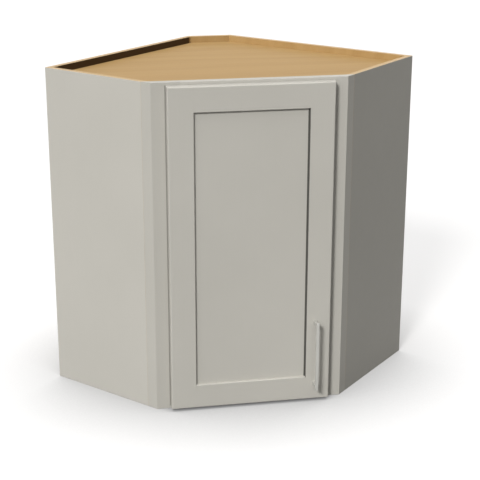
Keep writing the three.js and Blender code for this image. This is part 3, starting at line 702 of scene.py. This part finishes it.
def new_tree(name, **numbers):
    """An empty geometry tree with these named inputs, and the sockets that give them."""
    tree = bpy.data.node_groups.new(name, "GeometryNodeTree")
    tree.interface.new_socket("Geometry", in_out="INPUT", socket_type="NodeSocketGeometry")
    for title, kind in numbers.items():
        tree.interface.new_socket(title, in_out="INPUT", socket_type=kind)
    tree.interface.new_socket("Geometry", in_out="OUTPUT", socket_type="NodeSocketGeometry")
    return tree, add_node(tree, "NodeGroupInput").outputs


def ended(tree, instances, finish):
    """Closes a tree: its instances are made real, given their finish and handed out."""
    real = add_node(tree, "GeometryNodeRealizeInstances", {0: instances})
    coated = add_node(tree, "GeometryNodeSetMaterial", {"Geometry": real, "Material": finish})
    add_node(tree, "NodeGroupOutput", {0: coated})


def grown(name, host_mesh, tree, values, seam, crease):
    """A plain mesh of what the tree grows on the host: seams closed, faces out, creases kept."""
    host = bpy.data.objects.new(name, host_mesh)
    scene.collection.objects.link(host)
    grower = host.modifiers.new("grower", "NODES")
    grower.node_group = tree
    sockets = {
        item.name: item.identifier
        for item in tree.interface.items_tree if item.in_out == "INPUT"
    }
    for title, value in values.items():
        grower[sockets[title]] = value
    scene_now = bpy.context.evaluated_depsgraph_get()
    mesh = bpy.data.meshes.new_from_object(host.evaluated_get(scene_now), depsgraph=scene_now)
    host.modifiers.remove(grower)
    host.data = mesh
    shape = bmesh.new()
    shape.from_mesh(mesh)
    bmesh.ops.remove_doubles(shape, verts=shape.verts, dist=seam)
    bmesh.ops.recalc_face_normals(shape, faces=shape.faces)
    for face in shape.faces:
        face.smooth = True
    shape.to_mesh(mesh)
    shape.free()
    coat = next(each for each in mesh.materials if each)
    mesh.materials.clear()
    mesh.materials.append(coat)
    mesh.set_sharp_from_angle(angle=crease)
    return host


# The screw tree turns one head and one threaded, pointed shank, cuts the cross into the head, and
# sets both on each of the host's points, turned by chance as a driver leaves them. Both are grids
# one unit wide and long, rolled up round Z: turn is the angle round it, and along goes from the
# middle of the head's seat to its top, or from the shank's root to its point.
screw_tree, given = new_tree(
    "round_head_screws", Turns="NodeSocketFloat", Thread="NodeSocketFloat", Seed="NodeSocketInt")
sheet_place = add_node(screw_tree, "ShaderNodeSeparateXYZ", {
    0: add_node(screw_tree, "GeometryNodeInputPosition"),
})
turn = add_node(screw_tree, "ShaderNodeMath", {
    0: sheet_place.outputs["X"], 1: math.tau,
}, operation="MULTIPLY")
along = add_node(screw_tree, "ShaderNodeMath", {
    0: sheet_place.outputs["Y"], 1: 0.5,
}, operation="ADD")
# The head's outline, in steps from its seat to its top, as shares of its radius and its rise.
head_radii = (0, 0.93, 1, 1, 0.96, 0.86, 0.72, 0.52, 0.26, 0)
head_rises = (0, 0, 0.08, 0.3, 0.55, 0.76, 0.89, 0.97, 1, 1)
head_steps = len(head_radii) - 1
head_across, head_up = (
    add_node(screw_tree, "ShaderNodeFloatCurve", {"Value": along}, points=[
        (step / head_steps, share) for step, share in enumerate(shares)
    ])
    for shares in (head_radii, head_rises))
# The shank tapers to its point, and the thread bites into it in one long wave round and down it.
taper = add_node(screw_tree, "ShaderNodeFloatCurve", {"Value": along}, points=[
    (0, 1), (0.82, 0.95), (0.99, 0.12), (1, 0),
])
all_turns = add_node(screw_tree, "ShaderNodeMath", {
    0: given["Turns"], 1: math.tau,
}, operation="MULTIPLY")
bite = along
for operation, other in (
    ("MULTIPLY", all_turns), ("SUBTRACT", turn), ("COSINE", 0.0), ("MULTIPLY", 0.5),
    ("ADD", 0.5), ("MULTIPLY", given["Thread"]),
):
    bite = add_node(screw_tree, "ShaderNodeMath", {0: bite, 1: other}, operation=operation)
left_over = add_node(screw_tree, "ShaderNodeMath", {0: 1.0, 1: bite}, operation="SUBTRACT")
shank_across = add_node(screw_tree, "ShaderNodeMath", {
    0: taper, 1: left_over,
}, operation="MULTIPLY")
shank_down = add_node(screw_tree, "ShaderNodeMath", {0: along, 1: -1.0}, operation="MULTIPLY")
around = [
    add_node(screw_tree, "ShaderNodeMath", {0: turn}, operation=operation)
    for operation in ("COSINE", "SINE")
]
# Each is rolled up from so many sides round it and rings along it, and closed at its seam.
seam_gap = 0.001
turned = []
for sides, rings, radius, height in (
    (24, head_steps, head_across, head_up),
    (12, 48, shank_across, shank_down),
):
    sheet = add_node(screw_tree, "GeometryNodeMeshGrid", {
        "Size X": 1.0, "Size Y": 1.0, "Vertices X": sides + 1, "Vertices Y": rings + 1,
    })
    x, y = (
        add_node(screw_tree, "ShaderNodeMath", {0: radius, 1: share}, operation="MULTIPLY")
        for share in around)
    rolled = add_node(screw_tree, "GeometryNodeSetPosition", {
        "Geometry": sheet,
        "Position": add_node(screw_tree, "ShaderNodeCombineXYZ", {"X": x, "Y": y, "Z": height}),
    })
    turned.append(add_node(screw_tree, "GeometryNodeMergeByDistance", {
        "Geometry": rolled, "Distance": seam_gap,
    }))
head, shank = turned
# The cross is two bars cut out of the head's top, as shares of its radius and its rise.
bar_length, bar_width, bar_height, bar_middle = 1.05, 0.2, 0.9, 0.95
for bar_size in ((bar_length, bar_width, bar_height), (bar_width, bar_length, bar_height)):
    bar = add_node(screw_tree, "GeometryNodeTransform", {
        "Geometry": add_node(screw_tree, "GeometryNodeMeshCube", {"Size": bar_size}),
        "Translation": (0, 0, bar_middle),
    })
    head = add_node(screw_tree, "GeometryNodeMeshBoolean", {
        "Mesh 1": head, "Mesh 2": bar,
    }, operation="DIFFERENCE", solver="EXACT")
way_in, head_size, shank_size = (
    add_node(
        screw_tree, "GeometryNodeInputNamedAttribute", {"Name": title}, data_type="FLOAT_VECTOR")
    for title in ("way", "head_size", "shank_size"))
facing = add_node(screw_tree, "FunctionNodeAlignRotationToVector", {"Vector": way_in}, axis="Z")
spin = add_node(screw_tree, "FunctionNodeRandomValue", {
    "Min": 0.0, "Max": math.pi, "Seed": given["Seed"],
}, data_type="FLOAT")
about = add_node(screw_tree, "FunctionNodeAxisAngleToRotation", {"Axis": (0, 0, 1), "Angle": spin})
faced = add_node(screw_tree, "FunctionNodeRotateRotation", {
    0: facing, 1: about,
}, rotation_space="LOCAL")
joined = add_node(screw_tree, "GeometryNodeJoinGeometry")
for part, size in ((head, head_size), (shank, shank_size)):
    feed(screw_tree, joined, {0: add_node(screw_tree, "GeometryNodeInstanceOnPoints", {
        "Points": given["Geometry"], "Instance": part, "Rotation": faced, "Scale": size,
    })})
ended(screw_tree, joined, zinc_plating)

# Each kind: its nodes, the body it rides on, the way its head faces, and its sizes as radius and
# rise of the head, radius and length of the shank.
inward = -forward
screw_kinds = (
    ("hinge_plate_screw_low", "carcass", rightward, 3.4 * mm, 1.6 * mm, 1.8 * mm, 14 * mm),
    ("hinge_plate_screw_high", "carcass", rightward, 3.4 * mm, 1.6 * mm, 1.8 * mm, 14 * mm),
    ("hinge_arm_screw", "carcass", rightward, 3.8 * mm, 2.2 * mm, 2.2 * mm, 16 * mm),
    ("hinge_cup_screw_low", "door", inward, 3.3 * mm, 1.5 * mm, 1.7 * mm, 11 * mm),
    ("hinge_cup_screw_high", "door", inward, 3.3 * mm, 1.5 * mm, 1.7 * mm, 11 * mm),
    ("pull_screw", "door", inward, 4.0 * mm, 2.0 * mm, 2.0 * mm, 28 * mm),
)
for body, seed in (("carcass", 3), ("door", 8)):
    stood_for, seats, ways, heads, shanks = [], [], [], [], []
    for row in ("lower", "upper"):
        for kind, rides_on, way, head_radius, rise, shank_radius, length in screw_kinds:
            if rides_on != body:
                continue
            node = f"{row}_{kind}"
            lowest, highest = (Vector(corner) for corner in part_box(node))
            middle = (lowest + highest) / 2
            stood_for.append(node)
            seats.append(middle + way * ((highest - middle).dot(way) - rise))
            ways.append(way)
            heads.append((head_radius, head_radius, rise))
            shanks.append((shank_radius, shank_radius, length))
    points = bpy.data.meshes.new(f"{body}_screw_seats")
    points.from_pydata(seats, [], [])
    for title, values in (("way", ways), ("head_size", heads), ("shank_size", shanks)):
        stored = points.attributes.new(title, "FLOAT_VECTOR", "POINT")
        for place, value in zip(stored.data, values):
            place.vector = value
    screws = grown(
        f"{body}_screws", points, screw_tree, {"Turns": 9.0, "Thread": 0.28, "Seed": seed},
        seam=0.002 * mm, crease=math.radians(35))
    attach(screws, body)
    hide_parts(*stood_for)

# ---------------------------------------------------------------------------------------------
# Staples. Bent zinc-plated wire, shot through the two wall backs into the end panels, the decks
# and the corner panel, so only their crowns show, a little uneven, on the outer faces.
staple_tree, given = new_tree(
    "wire_staples", Spacing="NodeSocketFloat", Crown="NodeSocketFloat", Wire="NodeSocketFloat",
    Wander="NodeSocketFloat", Seed="NodeSocketInt")
marks = add_node(staple_tree, "GeometryNodeResampleCurve", {
    "Curve": add_node(staple_tree, "GeometryNodeMeshToCurve", {0: given["Geometry"]}),
    "Length": given["Spacing"],
}, mode="LENGTH")
outward = add_node(staple_tree, "GeometryNodeInputNamedAttribute", {
    "Name": "out",
}, data_type="FLOAT_VECTOR")
# Each wanders a little, but only within the back's face.
chance = add_node(staple_tree, "FunctionNodeRandomValue", {
    0: (-1, -1, -1), 1: (1, 1, 1), "Seed": given["Seed"],
}, data_type="FLOAT_VECTOR")
off_face = add_node(staple_tree, "ShaderNodeVectorMath", {
    0: chance, 1: outward,
}, operation="PROJECT")
in_face = add_node(staple_tree, "ShaderNodeVectorMath", {
    0: chance, 1: off_face,
}, operation="SUBTRACT")
scattered = add_node(staple_tree, "GeometryNodeSetPosition", {
    "Geometry": marks,
    "Offset": add_node(staple_tree, "ShaderNodeVectorMath", {
        0: in_face, "Scale": given["Wander"],
    }, operation="SCALE"),
})
# One staple is six points of a line, bent into a crown and two legs, with round wire along it.
# Crown and Wire give it its width, and how far it stands out of the face and goes in.
line = add_node(staple_tree, "GeometryNodeResampleCurve", {
    "Curve": add_node(staple_tree, "GeometryNodeCurvePrimitiveLine", {
        "Start": (0, 0, 0), "End": (1, 0, 0),
    }),
    "Count": 6,
}, mode="COUNT")
along = add_node(staple_tree, "GeometryNodeSplineParameter")
sideways, rise = (
    add_node(staple_tree, "ShaderNodeFloatCurve", {"Value": along}, points=places)
    for places in (
        [(0, 0), (0.2, 0), (0.4, 0.07), (0.6, 0.93), (0.8, 1), (1, 1)],
        [(0, 0), (0.2, 0.9), (0.4, 1), (0.6, 1), (0.8, 0.9), (1, 0)],
    ))
across, out = (
    add_node(staple_tree, "ShaderNodeMath", {
        0: add_node(staple_tree, "ShaderNodeMath", {0: share, 1: back}, operation="SUBTRACT"),
        1: given[size],
    }, operation="MULTIPLY")
    for share, back, size in ((sideways, 0.5, "Crown"), (rise, 1.15, "Wire")))
bent = add_node(staple_tree, "GeometryNodeSetPosition", {
    "Geometry": line,
    "Position": add_node(staple_tree, "ShaderNodeCombineXYZ", {"X": across, "Z": out}),
})
wire = add_node(staple_tree, "GeometryNodeCurveToMesh", {
    "Curve": bent,
    "Profile Curve": add_node(staple_tree, "GeometryNodeCurvePrimitiveCircle", {
        "Resolution": 6,
        "Radius": add_node(staple_tree, "ShaderNodeMath", {
            0: given["Wire"], 1: 0.5,
        }, operation="MULTIPLY"),
    }),
    "Fill Caps": True,
})
# It lies along its row, square to the face, and leans a little askew, in radians.
most_askew = 0.12
along_row = add_node(staple_tree, "FunctionNodeAlignRotationToVector", {
    "Vector": add_node(staple_tree, "GeometryNodeInputTangent"),
}, axis="X")
upright = add_node(staple_tree, "FunctionNodeAlignRotationToVector", {
    "Rotation": along_row, "Vector": outward,
}, axis="Z", pivot_axis="X")
askew = add_node(staple_tree, "FunctionNodeRandomValue", {
    "Min": -most_askew, "Max": most_askew, "Seed": given["Seed"],
}, data_type="FLOAT")
leaning = add_node(staple_tree, "FunctionNodeRotateRotation", {
    0: upright,
    1: add_node(staple_tree, "FunctionNodeAxisAngleToRotation", {
        "Axis": (0, 0, 1), "Angle": askew,
    }),
}, rotation_space="LOCAL")
shot = add_node(staple_tree, "GeometryNodeInstanceOnPoints", {
    "Points": scattered, "Instance": wire, "Rotation": leaning,
})
ended(staple_tree, shot, zinc_plating)

# The rows run along the decks and down both ends of each back. The right back's outer face goes
# in plan from its end at the end panel to the clipped corner, and the left one mirrors it.
face_end, face_clip = Vector((0.43105, -0.0536, 0)), Vector((0.0557, 0.3213, 0))
face_way = (face_clip - face_end).normalized()
face_length = (face_clip - face_end).length
panel_inset, corner_inset, row_gap = 19 * mm, 8 * mm, 40 * mm
bottom_row, top_row = 31.75 * mm, 739.75 * mm
row_ends = [
    (distance, height)
    for height in (bottom_row, top_row)
    for distance in (row_gap + panel_inset, face_length - row_gap)
] + [
    (distance, height)
    for distance in (panel_inset, face_length - corner_inset)
    for height in (bottom_row + row_gap, top_row - row_gap)
]
ends, outs = [], []
for mirror in (-1, 1):
    for distance, height in row_ends:
        spot = face_end + face_way * distance
        ends.append(Vector((mirror * spot.x, spot.y, height)))
        outs.append(Vector((mirror * half_turn, half_turn, 0)))
rows = bpy.data.meshes.new("staple_rows")
rows.from_pydata(ends, [(first, first + 1) for first in range(0, len(ends), 2)], [])
stored = rows.attributes.new("out", "FLOAT_VECTOR", "POINT")
for place, value in zip(stored.data, outs):
    place.vector = value
staples = grown("back_staples", rows, staple_tree, {
    "Spacing": 98 * mm, "Crown": 11 * mm, "Wire": 1.2 * mm, "Wander": 1.5 * mm, "Seed": 5,
}, seam=0.01 * mm, crease=math.radians(40))
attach(staples, "carcass")
